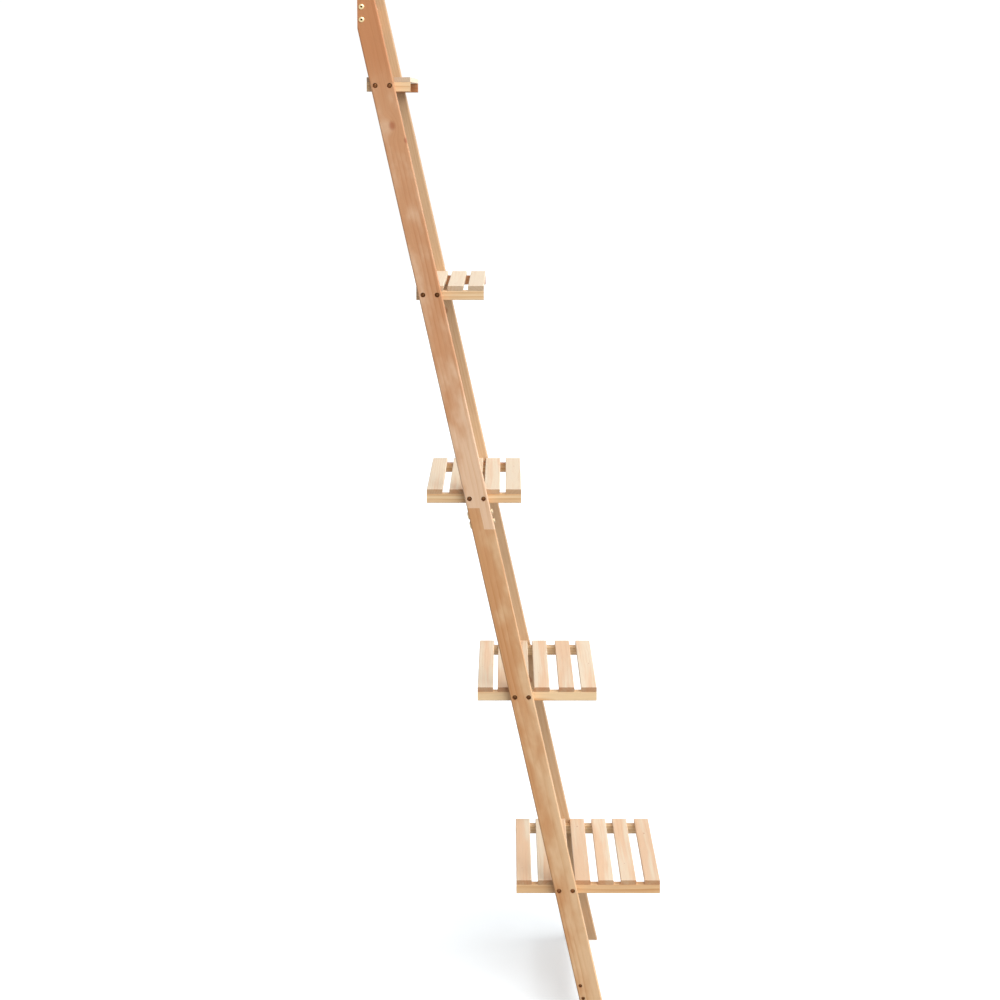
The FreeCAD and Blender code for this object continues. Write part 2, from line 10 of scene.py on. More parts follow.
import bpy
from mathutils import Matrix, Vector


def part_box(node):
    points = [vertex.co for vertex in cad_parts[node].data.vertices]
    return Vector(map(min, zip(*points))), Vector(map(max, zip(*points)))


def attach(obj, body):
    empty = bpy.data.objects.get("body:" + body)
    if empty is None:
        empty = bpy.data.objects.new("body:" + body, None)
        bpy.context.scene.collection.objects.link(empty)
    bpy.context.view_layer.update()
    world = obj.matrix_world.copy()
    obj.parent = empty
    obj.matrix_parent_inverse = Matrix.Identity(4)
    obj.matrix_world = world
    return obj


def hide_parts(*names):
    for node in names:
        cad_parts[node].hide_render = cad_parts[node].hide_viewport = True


bl_info = {
    "name": "Ladder Shelf",
    "version": (1, 0, 0),
    "blender": (4, 5, 0),
    "location": "3D View > Sidebar > Ladder Shelf",
    "description": "Finishes a leaning ladder shelf in cedar and adds its screws and bolts",
    "category": "Object",
}

import math

import bpy
import numpy as np
from bpy.props import FloatProperty, FloatVectorProperty, PointerProperty
from mathutils import Euler, Matrix, Vector

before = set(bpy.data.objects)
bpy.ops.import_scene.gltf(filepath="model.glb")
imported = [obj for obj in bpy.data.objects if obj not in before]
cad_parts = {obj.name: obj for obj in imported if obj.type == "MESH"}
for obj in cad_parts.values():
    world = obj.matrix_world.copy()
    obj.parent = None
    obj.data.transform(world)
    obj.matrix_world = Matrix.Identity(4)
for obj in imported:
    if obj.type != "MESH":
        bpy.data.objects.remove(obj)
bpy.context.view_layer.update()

MM = 0.001
LEAN = math.radians(12.6)             # of the rails from upright
UP_THE_RAIL = Vector((0, math.sin(LEAN), math.cos(LEAN)))
REARWARD = Vector((0, math.cos(LEAN), -math.sin(LEAN)))
LEFTWARD = Vector((-1, 0, 0))
ROOT = "root"
SHELVES = (1, 2, 3, 4, 5)             # counted from the top


# ---- small tools ----------------------------------------------------------------------------

def linear(code):
    """A colour written as sRGB hex, as linear red, green, blue."""
    values = [int(code[start:start + 2], 16)/255 for start in (0, 2, 4)]
    return tuple(v/12.92 if v <= 0.04045 else ((v + 0.055)/1.055)**2.4 for v in values)


def opaque(colour):
    return (*colour, 1.0)


def node_points(name):
    """The corners of a CAD node's mesh as an array."""
    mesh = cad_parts[name].data
    points = np.zeros(len(mesh.vertices)*3)
    mesh.vertices.foreach_get("co", points)
    return points.reshape(-1, 3)


def reach(name, direction, left_half=False):
    """How far a CAD node reaches along a direction, lowest and highest."""
    points = node_points(name)
    if left_half:
        points = points[points[:, 0] < 0]
    along = points @ np.array(direction)
    return along.min(), along.max()


def names_with(part):
    return sorted(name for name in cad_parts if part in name)


def slats_with(part):
    """The slats whose names have this part, without the slats' screws."""
    return [name for name in names_with(part) if not name.endswith("screws")]


# ---- what a user would change ---------------------------------------------------------------

class LADDERSHELF_PG_wood(bpy.types.PropertyGroup):
    rail_tan: FloatVectorProperty(
        name="Rail colour", description="Pale growth of the rails and cross rails",
        subtype="COLOR", default=linear("E0BC9B"), min=0, max=1)
    rail_heart: FloatVectorProperty(
        name="Rail heartwood", description="Redder wood nearer the middle of the tree",
        subtype="COLOR", default=linear("C89268"), min=0, max=1)
    rail_lower_tan: FloatVectorProperty(
        name="Lower rail colour", description="Yellower pale growth of the rails' lower pieces",
        subtype="COLOR", default=linear("D9B48B"), min=0, max=1)
    rail_lower_heart: FloatVectorProperty(
        name="Lower rail heartwood", description="Orange heartwood of the rails' lower pieces",
        subtype="COLOR", default=linear("C69263"), min=0, max=1)
    rail_right_tan: FloatVectorProperty(
        name="Right rail colour", description="Greyer pale growth of the right-hand rail",
        subtype="COLOR", default=linear("CCAA85"), min=0, max=1)
    rail_right_heart: FloatVectorProperty(
        name="Right rail heartwood", description="Browner wood of the right-hand rail",
        subtype="COLOR", default=linear("C5A27D"), min=0, max=1)
    bearer_tan: FloatVectorProperty(
        name="Bearer colour", description="Pale growth of the shelf bearers",
        subtype="COLOR", default=linear("EACBA0"), min=0, max=1)
    bearer_heart: FloatVectorProperty(
        name="Bearer heartwood", description="Redder wood of the shelf bearers",
        subtype="COLOR", default=linear("DDB688"), min=0, max=1)
    # Painted shade: this darker brown stands in for the shade that the right-hand bearers of the
    # upper shelves sit in under the slats.
    bearer_painted_shade: FloatVectorProperty(
        name="Bearer brown", description="Darkest heartwood, in the right-hand bearers",
        subtype="COLOR", default=linear("C0865B"), min=0, max=1)
    slat_cream: FloatVectorProperty(
        name="Slat colour", description="Sanded sapwood of the slats",
        subtype="COLOR", default=linear("ECD9BF"), min=0, max=1)
    slat_blush: FloatVectorProperty(
        name="Slat heartwood", description="Pinker wood of the slats",
        subtype="COLOR", default=linear("E9C5A2"), min=0, max=1)
    ring_spacing: FloatProperty(
        name="Ring spacing", description="One year's growth, from one dark line to the next",
        unit="LENGTH", default=4.5*MM, min=0.5*MM, max=10*MM)
    fibre_width: FloatProperty(
        name="Fibre width", description="Fine streaks along the grain, drawn coarser than real",
        unit="LENGTH", default=0.9*MM, min=0.1*MM, max=5*MM)


class LADDERSHELF_PG_hardware(bpy.types.PropertyGroup):
    bronze: FloatVectorProperty(
        name="Bronze", description="Bronzed steel of the wood screws",
        subtype="COLOR", default=linear("7A5233"), min=0, max=1)
    brass: FloatVectorProperty(
        name="Brass", description="Yellow plating of the lap bolts and nuts",
        subtype="COLOR", default=linear("C9B290"), min=0, max=1)
    zinc: FloatVectorProperty(
        name="Zinc", description="Yellowed plating of the top cross rail's screws",
        subtype="COLOR", default=linear("E6CD9E"), min=0, max=1)
    # Painted shade: a darker colour inside the top screws' sockets, standing in for the shade deep
    # in the recesses.
    socket: FloatVectorProperty(
        name="Socket", description="Darker steel inside the top screws' sockets",
        subtype="COLOR", default=linear("7E6242"), min=0, max=1)
    cross_recess_width: FloatProperty(
        name="Cross recess", description="From arm end to arm end of a cross recess",
        unit="LENGTH", default=4.0*MM, min=1*MM, max=6*MM)
    hex_recess_width: FloatProperty(
        name="Hex recess", description="Across the flats of a hexagon socket",
        unit="LENGTH", default=4.2*MM, min=1*MM, max=6*MM)


class LADDERSHELF_PG_stage(bpy.types.PropertyGroup):
    floor_colour: FloatVectorProperty(
        name="Floor colour", description="Matt white floor",
        subtype="COLOR", default=linear("EFF5F9"), min=0, max=1)
    camera_place: FloatVectorProperty(
        name="Camera place", description="Where the camera stands",
        subtype="TRANSLATION", unit="LENGTH", default=(-4.374, 0.0118, 1.6016))
    camera_pitch: FloatProperty(
        name="Camera pitch", description="How far the camera looks down",
        unit="ROTATION", default=math.radians(9.193))
    camera_turn: FloatProperty(
        name="Camera turn", description="How far the camera turns towards the wall",
        unit="ROTATION", default=math.radians(0.15))
    camera_lens: FloatProperty(
        name="Lens", description="Focal length on a 36 mm wide sensor, in millimetres",
        unit="CAMERA", default=88.49, min=10, max=300)


# ---- materials ------------------------------------------------------------------------------

NODE_STEP = 190                       # how far apart the nodes of a material are laid out


def add_node(tree, kind, inputs=None, **settings):
    """A shader node with its settings. Each input is given a value or linked from a socket."""
    made = tree.nodes.new(kind)
    made.location = (NODE_STEP*len(tree.nodes), 0)
    for name, value in settings.items():
        setattr(made, name, value)
    for name, value in (inputs or {}).items():
        if isinstance(value, bpy.types.NodeSocket):
            tree.links.new(value, made.inputs[name])
        else:
            made.inputs[name].default_value = value
    return made


def new_material(name, **shader_values):
    """A material with one plain shader, whose constants are set on its own sockets."""
    material = bpy.data.materials.new(name)
    material.use_nodes = True
    tree = material.node_tree
    tree.nodes.clear()
    shader = add_node(tree, "ShaderNodeBsdfPrincipled",
                      {key.replace("_", " "): value for key, value in shader_values.items()})
    add_node(tree, "ShaderNodeOutputMaterial", {"Surface": shader.outputs[0]})
    return material, tree, shader


def streaks(tree, space, stretch, **inputs):
    """Noise drawn out along the grain: its waves per metre along the board and across it."""
    stretched = add_node(tree, "ShaderNodeVectorMath", {0: space, 1: stretch},
                         operation="MULTIPLY")
    return add_node(tree, "ShaderNodeTexNoise",
                    {"Vector": stretched.outputs[0], "Scale": 1.0, **inputs}).outputs


def tinted(tree, colour, share, tint):
    """A colour multiplied by a tint, by a share of it: none leaves it, and one tints it fully."""
    return add_node(tree, "ShaderNodeMix", {0: share, 6: colour, 7: opaque(tint)},
                    data_type="RGBA", blend_type="MULTIPLY").outputs[2]


def set_ramp(ramp_node, stops):
    """Places the stops of a colour ramp, each a position and a grey level."""
    ramp = ramp_node.color_ramp
    while len(ramp.elements) > 1:
        ramp.elements.remove(ramp.elements[-1])
    for number, (position, level) in enumerate(stops):
        stop = ramp.elements[0] if number == 0 else ramp.elements.new(position)
        stop.position = position
        stop.color = (level, level, level, 1)


# Softwood's ring from one spring to the next: pale early wood, darkening to a thin dark line.
RING_STOPS = ((0.0, 0.0), (0.45, 0.12), (0.8, 0.65), (0.93, 1.0), (1.0, 0.1))

NOISE_REACH = {"From Min": 0.3, "From Max": 0.7}   # a noise texture rarely leaves this range

GRAIN_ALONG_X = Euler((0, 0, 0))
GRAIN_ALONG_Y = Euler((0, 0, -math.pi/2))
GRAIN_UP_RAIL = Euler((LEAN, math.pi/2, 0))

# Stretches of the grain's patterns, along it and across it: the smaller, the longer.
WANDER_STRETCH = (4.5, 16, 16)        # waves per metre of the grain's slow wander
PATCH_STRETCH = (5, 45, 45)           # patches per metre in which the rings show more or less
RING_STRETCH = (0.03, 1, 1)           # rings run nearly straight along the board
FIBRE_LENGTHS = 40                    # a fibre's length over its width
# The Wave texture turns 20 radians of its saw for each unit, so one ring takes this distance.
WAVE_PERIOD = 2*math.pi/20
KNOT_TONE = linear("C4825C")          # of a knot's middle, against the wood round it

RED_END_TINT = linear("F7E7D7")       # of a board's reddest end, against the rest of it
RED_END_LIFT = 0.3                    # share of heartwood that the reddest end adds
NO_RED_END = (9, 10)                  # metres along the grain, past the end of every board


def board_middle(name, turn):
    """A piece's middle in turned coordinates, whose X axis runs along its grain."""
    low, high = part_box(name)
    return turn.to_matrix() @ ((low + high)/2)


def solid_wood(name, turn, middle, place, colours, look, end_tint):
    """Red cedar, planed, sanded and left bare: pale early wood and darker thin late wood in rings
    about the pith, fine fibres along the grain, slow drifts of colour between sapwood and
    heartwood, and the odd small knot. Every pattern is in the board's own space, so all faces
    agree."""
    pale, heart = colours
    material, tree, shader = new_material(name, Roughness=0.55, IOR=1.45)
    object_space = add_node(tree, "ShaderNodeTexCoord")
    board = add_node(tree, "ShaderNodeMapping",
                     {"Vector": object_space.outputs["Object"], "Rotation": turn,
                      "Location": place})

    # The grain wanders a few millimetres over a hand's length.
    wander = streaks(tree, board.outputs[0], WANDER_STRETCH, Detail=2.0)
    centred = add_node(tree, "ShaderNodeVectorMath",
                       {0: wander["Color"], 1: (0.5, 0.5, 0.5)}, operation="SUBTRACT")
    shift = add_node(tree, "ShaderNodeVectorMath",
                     {0: centred.outputs[0], 1: (0, look["wander"], look["wander"])},
                     operation="MULTIPLY")
    tree_space = add_node(tree, "ShaderNodeVectorMath",
                          {0: board.outputs[0], 1: shift.outputs[0]}, operation="ADD")

    # Knots: branches that ran through the board; the grain swells round each of them.
    knot_core, swelling = 0.0, 0.0
    for along, across, radius in look["knots"]:
        centre = (place[0] + middle.x + along, place[1] + middle.y + across, 0)
        from_branch = add_node(tree, "ShaderNodeVectorMath",
                               {0: tree_space.outputs[0], 1: centre}, operation="SUBTRACT")
        in_radii = add_node(tree, "ShaderNodeVectorMath",
                            {0: from_branch.outputs[0], 1: (0.7/radius, 1/radius, 0)},
                            operation="MULTIPLY")
        distance = add_node(tree, "ShaderNodeVectorMath", {0: in_radii.outputs[0]},
                            operation="LENGTH").outputs["Value"]
        core = add_node(tree, "ShaderNodeMapRange",
                        {"Value": distance, "From Min": 1.25, "From Max": 0.3, "To Max": 1.0},
                        interpolation_type="SMOOTHSTEP")
        halo = add_node(tree, "ShaderNodeMapRange",
                        {"Value": distance, "From Min": 3.5, "From Max": 0.0, "To Max": 1.6*radius},
                        interpolation_type="SMOOTHERSTEP")
        knot_core = add_node(tree, "ShaderNodeMath", {0: knot_core, 1: core.outputs[0]},
                             operation="MAXIMUM").outputs[0]
        swelling = add_node(tree, "ShaderNodeMath", {0: swelling, 1: halo.outputs[0]},
                            operation="MAXIMUM").outputs[0]
    swell = add_node(tree, "ShaderNodeCombineXYZ", {"Y": swelling})
    grown = add_node(tree, "ShaderNodeVectorMath",
                     {0: tree_space.outputs[0], 1: swell.outputs[0]}, operation="ADD")

    # Rings, one a year.
    ring_scale = WAVE_PERIOD/look["ring_spacing"]
    stretched = add_node(tree, "ShaderNodeVectorMath",
                         {0: grown.outputs[0], 1: RING_STRETCH}, operation="MULTIPLY")
    rings = add_node(tree, "ShaderNodeTexWave",
                     {"Vector": stretched.outputs[0], "Scale": ring_scale, "Distortion": 2.2,
                      "Detail": 2.0, "Detail Scale": 0.35, "Detail Roughness": 0.55},
                     wave_type="RINGS", rings_direction="X", wave_profile="SAW")
    late_wood = add_node(tree, "ShaderNodeValToRGB", {"Fac": rings.outputs["Fac"]})
    set_ramp(late_wood, RING_STOPS)

    # Some years show more than others, patch by patch.
    patch = streaks(tree, grown.outputs[0], PATCH_STRETCH, Detail=2.0)
    patch_level = add_node(tree, "ShaderNodeMapRange",
                           {"Value": patch["Fac"], "From Min": 0.35, "From Max": 0.65,
                            "To Min": look["ring_least"], "To Max": 1.0})
    late_share = add_node(tree, "ShaderNodeMath",
                          {0: late_wood.outputs["Color"], 1: patch_level.outputs[0]},
                          operation="MULTIPLY")

    # Fibres: streaks a little under a millimetre wide and a few centimetres long.
    across_fibres = 1/look["fibre_width"]
    fibres = streaks(tree, grown.outputs[0],
                     (across_fibres/FIBRE_LENGTHS, across_fibres, across_fibres),
                     Detail=3.0, Roughness=0.6)

    # Drift between sapwood and heartwood, in bands or blotches that run along the board.
    drift = streaks(tree, grown.outputs[0], look["drift"], Detail=3.0, Roughness=0.5)
    towards_heart = add_node(tree, "ShaderNodeVectorMath",
                             {0: board.outputs[0], 1: look["heart_slope"]},
                             operation="DOT_PRODUCT")
    at_middle = sum((place[i] + middle[i])*look["heart_slope"][i] for i in range(3))
    sloped = add_node(tree, "ShaderNodeMath",
                      {0: towards_heart.outputs["Value"], 1: at_middle - look["heart_lift"]},
                      operation="SUBTRACT")
    capped = add_node(tree, "ShaderNodeMath", {0: sloped.outputs[0], 1: look["heart_most"]},
                      operation="MINIMUM")
    levelled = add_node(tree, "ShaderNodeMath", {0: drift["Fac"], 1: capped.outputs[0]},
                        operation="ADD")

    # One end of a board can run into the reddest wood, close to the pith.
    along = add_node(tree, "ShaderNodeSeparateXYZ", {0: board.outputs[0]})
    red_from, red_to = (place[0] + middle[0] + end for end in look["red_end"])
    red_share = add_node(tree, "ShaderNodeMapRange",
                         {"Value": along.outputs["X"], "From Min": red_from, "From Max": red_to},
                         interpolation_type="SMOOTHSTEP")
    with_end = add_node(tree, "ShaderNodeMath",
                        {0: red_share.outputs[0], 1: RED_END_LIFT, 2: levelled.outputs[0]},
                        operation="MULTIPLY_ADD")
    heartwood = add_node(tree, "ShaderNodeMapRange",
                         {"Value": with_end.outputs[0], "From Min": look["heart_from"],
                          "From Max": look["heart_to"], "To Min": 0.0, "To Max": 1.0},
                         interpolation_type="SMOOTHSTEP")
    plain = add_node(tree, "ShaderNodeMix",
                     {0: heartwood.outputs[0], 6: opaque(pale), 7: opaque(heart)}, data_type="RGBA")
    early = tinted(tree, plain.outputs[2], red_share.outputs[0], RED_END_TINT)
    ringed = tinted(tree, early, late_share.outputs[0], look["late_tint"])
    fibre_level = add_node(tree, "ShaderNodeMapRange",
                           {"Value": fibres["Fac"], **NOISE_REACH,
                            "To Min": look["fibre_dark"], "To Max": 1.04})
    with_fibres = add_node(tree, "ShaderNodeVectorMath",
                           {0: ringed, "Scale": fibre_level.outputs[0]},
                           operation="SCALE")

    # Knots are darker and redder in the middle than around.
    knot_share = add_node(tree, "ShaderNodeMath", {0: knot_core, 1: look["knot_dark"]},
                          operation="MULTIPLY")
    knotted = tinted(tree, with_fibres.outputs[0], knot_share.outputs[0], KNOT_TONE)

    # End grain shows the open ends of the fibres and looks darker: faces square to the grain.
    grain = turn.to_matrix().transposed() @ Vector((1, 0, 0))
    facing = add_node(tree, "ShaderNodeVectorMath",
                      {0: object_space.outputs["Normal"], 1: tuple(grain)}, operation="DOT_PRODUCT")
    either_end = add_node(tree, "ShaderNodeMath", {0: facing.outputs["Value"]},
                          operation="ABSOLUTE")
    is_end = add_node(tree, "ShaderNodeMapRange",
                      {"Value": either_end.outputs[0], "From Min": 0.6, "From Max": 0.95,
                       "To Min": 0.0, "To Max": 1.0})
    coloured = tinted(tree, knotted, is_end.outputs[0], end_tint)
    tree.links.new(coloured, shader.inputs["Base Color"])

    # Late wood is denser and takes a little more polish; the fibres stand a few hundredths of a
    # millimetre proud.
    gloss = add_node(tree, "ShaderNodeMapRange",
                     {"Value": late_wood.outputs["Color"], "To Min": 0.62, "To Max": 0.48})
    tree.links.new(gloss.outputs[0], shader.inputs["Roughness"])
    height = add_node(tree, "ShaderNodeMath",
                      {0: fibres["Fac"], 1: late_wood.outputs["Color"]}, operation="ADD")
    bump = add_node(tree, "ShaderNodeBump",
                    {"Height": height.outputs[0], "Strength": 0.35, "Distance": 0.06*MM})
    tree.links.new(bump.outputs[0], shader.inputs["Normal"])
    return material


def plated_steel(name, colour, roughness, stain=0.35, grain_size=0.6*MM):
    """Plated steel, tumbled in a barrel: an even satin metal with cloudy stains in its plating."""
    material, tree, shader = new_material(name, Metallic=1.0)
    object_space = add_node(tree, "ShaderNodeTexCoord")
    cloud = add_node(tree, "ShaderNodeTexNoise",
                     {"Vector": object_space.outputs["Object"], "Scale": 1/(3*grain_size),
                      "Detail": 3.0})
    fine = add_node(tree, "ShaderNodeTexNoise",
                    {"Vector": object_space.outputs["Object"], "Scale": 1/(grain_size/3),
                     "Detail": 2.0})
    level = add_node(tree, "ShaderNodeMapRange",
                     {"Value": cloud.outputs["Fac"], **NOISE_REACH, "To Min": 1 - stain,
                      "To Max": 1.0})
    tone = add_node(tree, "ShaderNodeVectorMath",
                    {0: (*colour,), "Scale": level.outputs[0]}, operation="SCALE")
    tree.links.new(tone.outputs[0], shader.inputs["Base Color"])
    gloss = add_node(tree, "ShaderNodeMapRange",
                     {"Value": cloud.outputs["Fac"], **NOISE_REACH,
                      "To Min": roughness + 0.1, "To Max": roughness - 0.05})
    tree.links.new(gloss.outputs[0], shader.inputs["Roughness"])
    bump = add_node(tree, "ShaderNodeBump",
                    {"Height": fine.outputs["Fac"], "Strength": 0.2, "Distance": 0.02*MM})
    tree.links.new(bump.outputs[0], shader.inputs["Normal"])
    return material


def finish_node(name, material):
    """Puts one material in every slot of a CAD node."""
    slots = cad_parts[name].data.materials
    if not slots:
        slots.append(material)
    for index in range(len(slots)):
        slots[index] = material


# ---- wood, board by board -------------------------------------------------------------------

GOLDEN = 0.61803398875                # successive multiples of it spread evenly over 0 to 1


def spread(number, low, high, start=0.0):
    """An evenly scattered choice for the numbered board."""
    return low + (high - low)*((start + number*GOLDEN) % 1.0)


def shaded(colour, level):
    return tuple(channel*level for channel in colour)


def finish_board(name, number, turn, colours, look, end_tint, knots=()):
    """Cuts the numbered board from its own place in a tree: so far up the trunk, and so far out
    from the pith, in metres, with its own shade, ring spacing and share of heartwood."""
    up_trunk = spread(number, 2, 9, 0.4)
    beside_pith = spread(number, 14, 42, 0.2)*MM*(-1 if number % 2 else 1)
    above_pith = spread(number, 6, 34, 0.7)*MM
    middle = board_middle(name, turn)
    place = (up_trunk - middle.x, beside_pith - middle.y, above_pith - middle.z)
    level = spread(number, 0.95, 1.03, 0.1)
    heart_from = look["heart_from"] + spread(number, -0.07, 0.07, 0.9)
    own_look = dict(look, ring_spacing=look["ring_spacing"]*spread(number, 0.8, 1.3, 0.5),
                    heart_from=heart_from,
                    heart_to=heart_from + look["heart_to"] - look["heart_from"], knots=knots)
    material = solid_wood(f"planed_red_cedar_{name}", turn, middle, place,
                          [shaded(colour, level) for colour in colours], own_look, end_tint)
    finish_node(name, material)


FRAME_END_TINT = linear("E6CDB0")     # how much darker the rails' and bearers' ends are


def base_look(wood, **changes):
    """What all the boards share, with the changes that one kind of board needs."""
    look = {"wander": 9*MM, "ring_spacing": wood.ring_spacing, "fibre_width": wood.fibre_width,
            "heart_from": 0.4, "heart_to": 0.62, "late_tint": linear("E2C4A4"),
            "ring_least": 0.2, "fibre_dark": 0.93, "knot_dark": 0.75, "heart_slope": (0, 0, 0),
            "heart_lift": 0.0, "heart_most": 0.5, "drift": (2.2, 60, 60),
            "red_end": NO_RED_END}
    look.update(changes)
    return look


# Knots of each piece: along the grain and across it from the piece's middle, and the radius.
RAIL_KNOTS = {
    "left_upper_rail": [(0.232, 0.007, 6*MM), (0.203, -0.010, 4*MM)],
    "right_upper_rail": [(-0.120, 0.006, 5*MM)],
    "right_lower_rail": [(0.060, -0.004, 5*MM)],
}
# The rails' rear edges are nearer the heart of the tree, and so is one end of each piece. A slope
# is the share of heartwood gained per metre, along the grain and across it, and the lift is the
# share gained everywhere, up to the most. A red end starts and is full at these metres along the
# grain from the piece's middle.
UPPER_HEART = {"heart_slope": (3.0, 4.0, 0), "heart_lift": 0.92, "heart_most": 0.24}
RAIL_HEART = {
    "left_upper_rail": dict(UPPER_HEART, red_end=(0.27, 0.36)),
    "right_upper_rail": UPPER_HEART,
    "left_lower_rail": {"heart_slope": (0.35, 12.0, 0)},
    "right_lower_rail": {"heart_slope": (0.6, 3.0, 0)},
}
LOWER_RIGHT_SHADE = 0.87              # of the right lower rail's board, against the upper one's
RAIL_DRIFT = (18, 42, 42)             # blotches a thumb's length long, in waves per metre

# The boards are numbered from the rails on, and each number has its own place in a tree.
FIRST_CROSS_RAIL, FIRST_BEARER, FIRST_SLAT = 4, 6, 16

# Painted shade: the right-hand bearers of the upper shelves sit in shade under the slats, and that
# shade is painted into their colour.
SHADED_BEARER_SHELVES = (1, 2, 3)       # whose right-hand bearers are darkened as painted shade
# Heartwood added to each shelf's bearers, left and right: more is browner, and in the right-hand
# bearers of the shaded shelves more is painted shade.
BEARER_HEART = {1: (-0.1, 0.25), 2: (0.1, 0.1), 3: (-0.05, 0.05), 4: (-0.2, -0.1),
                5: (0.3, -0.2)}


def slat_knots(names):
    """A pin knot in two slats out of three, scattered along them."""
    return {name: [(spread(number, -0.15, 0.15, 0.6), spread(number, -6, 6, 0.2)*MM,
                    spread(number, 1.2, 2.4, 0.5)*MM)]
            for number, name in enumerate(names) if number % 3}


# Shelf by shelf, more or less heartwood in the slats, and the tone of their sawn ends.
SLAT_HEART = {1: -0.3, 2: -0.3, 3: -0.1, 4: 0.0, 5: 0.05}
SLAT_END_TINTS = {1: linear("DAD2CC"), 2: linear("D2C8BE"), 3: linear("CDB7A2"),
                  4: linear("C4AC98"), 5: linear("CDB7A2")}


class LADDERSHELF_OT_rails(bpy.types.Operator):
    """Finishes the four rail pieces in cedar, with the grain up the lean"""

    bl_idname = "laddershelf.rails"
    bl_label = "Rails"

    def execute(self, context):
        wood = context.scene.laddershelf_wood
        left, right = (wood.rail_tan, wood.rail_heart), (wood.rail_right_tan, wood.rail_right_heart)
        lower_left = (wood.rail_lower_tan, wood.rail_lower_heart)
        lower_right = [shaded(colour, LOWER_RIGHT_SHADE) for colour in right]
        rails = (("left_upper_rail", left), ("right_upper_rail", right),
                 ("left_lower_rail", lower_left), ("right_lower_rail", lower_right))
        for number, (name, colours) in enumerate(rails):
            look = base_look(wood, drift=RAIL_DRIFT, heart_from=0.3, heart_to=0.78,
                             knot_dark=0.6, fibre_dark=0.96, ring_least=0.0,
                             late_tint=linear("EFDECB"), **RAIL_HEART[name])
            finish_board(name, number, GRAIN_UP_RAIL, colours, look, FRAME_END_TINT,
                         RAIL_KNOTS.get(name, ()))
        return {"FINISHED"}


class LADDERSHELF_OT_cross_rails(bpy.types.Operator):
    """Finishes the two cross rails, with the grain from side to side"""

    bl_idname = "laddershelf.cross_rails"
    bl_label = "Cross Rails"

    def execute(self, context):
        wood = context.scene.laddershelf_wood
        for number, name in enumerate(("top_cross_rail", "bottom_cross_rail"),
                                      start=FIRST_CROSS_RAIL):
            finish_board(name, number, GRAIN_ALONG_X, (wood.rail_tan, wood.rail_heart),
                         base_look(wood), FRAME_END_TINT)
        return {"FINISHED"}


class LADDERSHELF_OT_bearers(bpy.types.Operator):
    """Finishes the ten bearers, with the grain from front to back"""

    bl_idname = "laddershelf.bearers"
    bl_label = "Bearers"

    def execute(self, context):
        wood = context.scene.laddershelf_wood
        pale = (wood.bearer_tan, wood.bearer_heart)
        dark = (wood.bearer_heart, wood.bearer_painted_shade)
        for number, name in enumerate(names_with("_bearer"), start=FIRST_BEARER):
            shelf = int(name.split("_")[1])
            is_right = name.endswith("right_bearer")
            # Painted shade: these right-hand bearers take the darker pair of colours.
            gets_painted_shade = is_right and shelf in SHADED_BEARER_SHELVES
            look = base_look(wood, wander=6*MM, ring_least=0.5,
                             heart_lift=BEARER_HEART[shelf][is_right])
            finish_board(name, number, GRAIN_ALONG_Y, dark if gets_painted_shade else pale, look,
                         FRAME_END_TINT)
        return {"FINISHED"}


class LADDERSHELF_OT_slats(bpy.types.Operator):
    """Finishes the slats, sanded paler than the frame, with the grain from side to side"""

    bl_idname = "laddershelf.slats"
    bl_label = "Slats"

    def execute(self, context):
        wood = context.scene.laddershelf_wood
        names = slats_with("_slat_")
        knots = slat_knots(names)
        for number, name in enumerate(names, start=FIRST_SLAT):
            shelf = int(name.split("_")[1])
            look = base_look(wood, late_tint=linear("F6EADC"), fibre_dark=0.97, knot_dark=0.5,
                             ring_least=0.1, heart_lift=SLAT_HEART[shelf])
            finish_board(name, number, GRAIN_ALONG_X, (wood.slat_cream, wood.slat_blush), look,
                         SLAT_END_TINTS[shelf], knots.get(name, ()))
        return {"FINISHED"}


# ---- screws, bolts and nuts -----------------------------------------------------------------

ARM_SHARE = 0.11                      # half the width of a recess's arm, over the whole recess


def cross_outline(width):
    """Angles and radii round a cross recess: arms with parallel sides and square ends. In the
    eighth of a turn from an arm's middle, the edge is the arm's end, and past the arm's corner
    it is the arm's side, whose radius is half the arm's width over the angle's sine."""
    long, half = width/2, width*ARM_SHARE
    corner = math.atan2(half, long)
    folded = np.array([0, corner, corner*1.8, corner*3, math.pi/4])
    radii = np.where(folded <= corner, long/np.cos(folded), half/np.sin(np.maximum(folded, corner)))
    eighth = np.concatenate([folded, math.pi/2 - folded[-2:0:-1]])
    quarter = np.concatenate([radii, radii[-2:0:-1]])
    turns = np.arange(4)*math.pi/2
    return (turns[:, None] + eighth[None, :]).ravel(), np.tile(quarter, 4)


def hex_outline(width):
    """Angles and radii round a hexagon: half the width across flats over the cosine of the angle
    from the nearest flat's middle."""
    angles = np.arange(36)*math.pi/18
    from_flat = (angles + math.pi/6) % (math.pi/3) - math.pi/6
    return angles, width/2/np.cos(from_flat)


def turned_points(angles, radii, heights):
    """A grid of points round Z, from rows of radii and of heights, one of each per angle."""
    return np.stack([radii*np.cos(angles), radii*np.sin(angles), heights], axis=-1)


def closed_grid(rows):
    """Corners and faces of a grid that is closed round its rows, with a pole at each end. The
    first row is the upper pole and the last is the lower one, so the faces point outwards."""
    count = rows.shape[1]
    points = np.concatenate([rows[0, :1], rows[1:-1].reshape(-1, 3), rows[-1, :1]])
    column = np.arange(count)
    after = (column + 1) % count
    inner = len(rows) - 2
    starts = 1 + np.arange(inner - 1)[:, None]*count
    quads = np.stack([starts + column, starts + count + column, starts + count + after,
                      starts + after], axis=-1).reshape(-1, 4)
    top = np.stack([np.zeros_like(column), 1 + column, 1 + after], axis=-1)
    last = 1 + (inner - 1)*count
    bottom = np.stack([np.full_like(column, len(points) - 1), last + after, last + column], axis=-1)
    return points, quads, np.concatenate([top, bottom])


RECESS_TAPER = 0.72                   # of a recess's floor, against its mouth


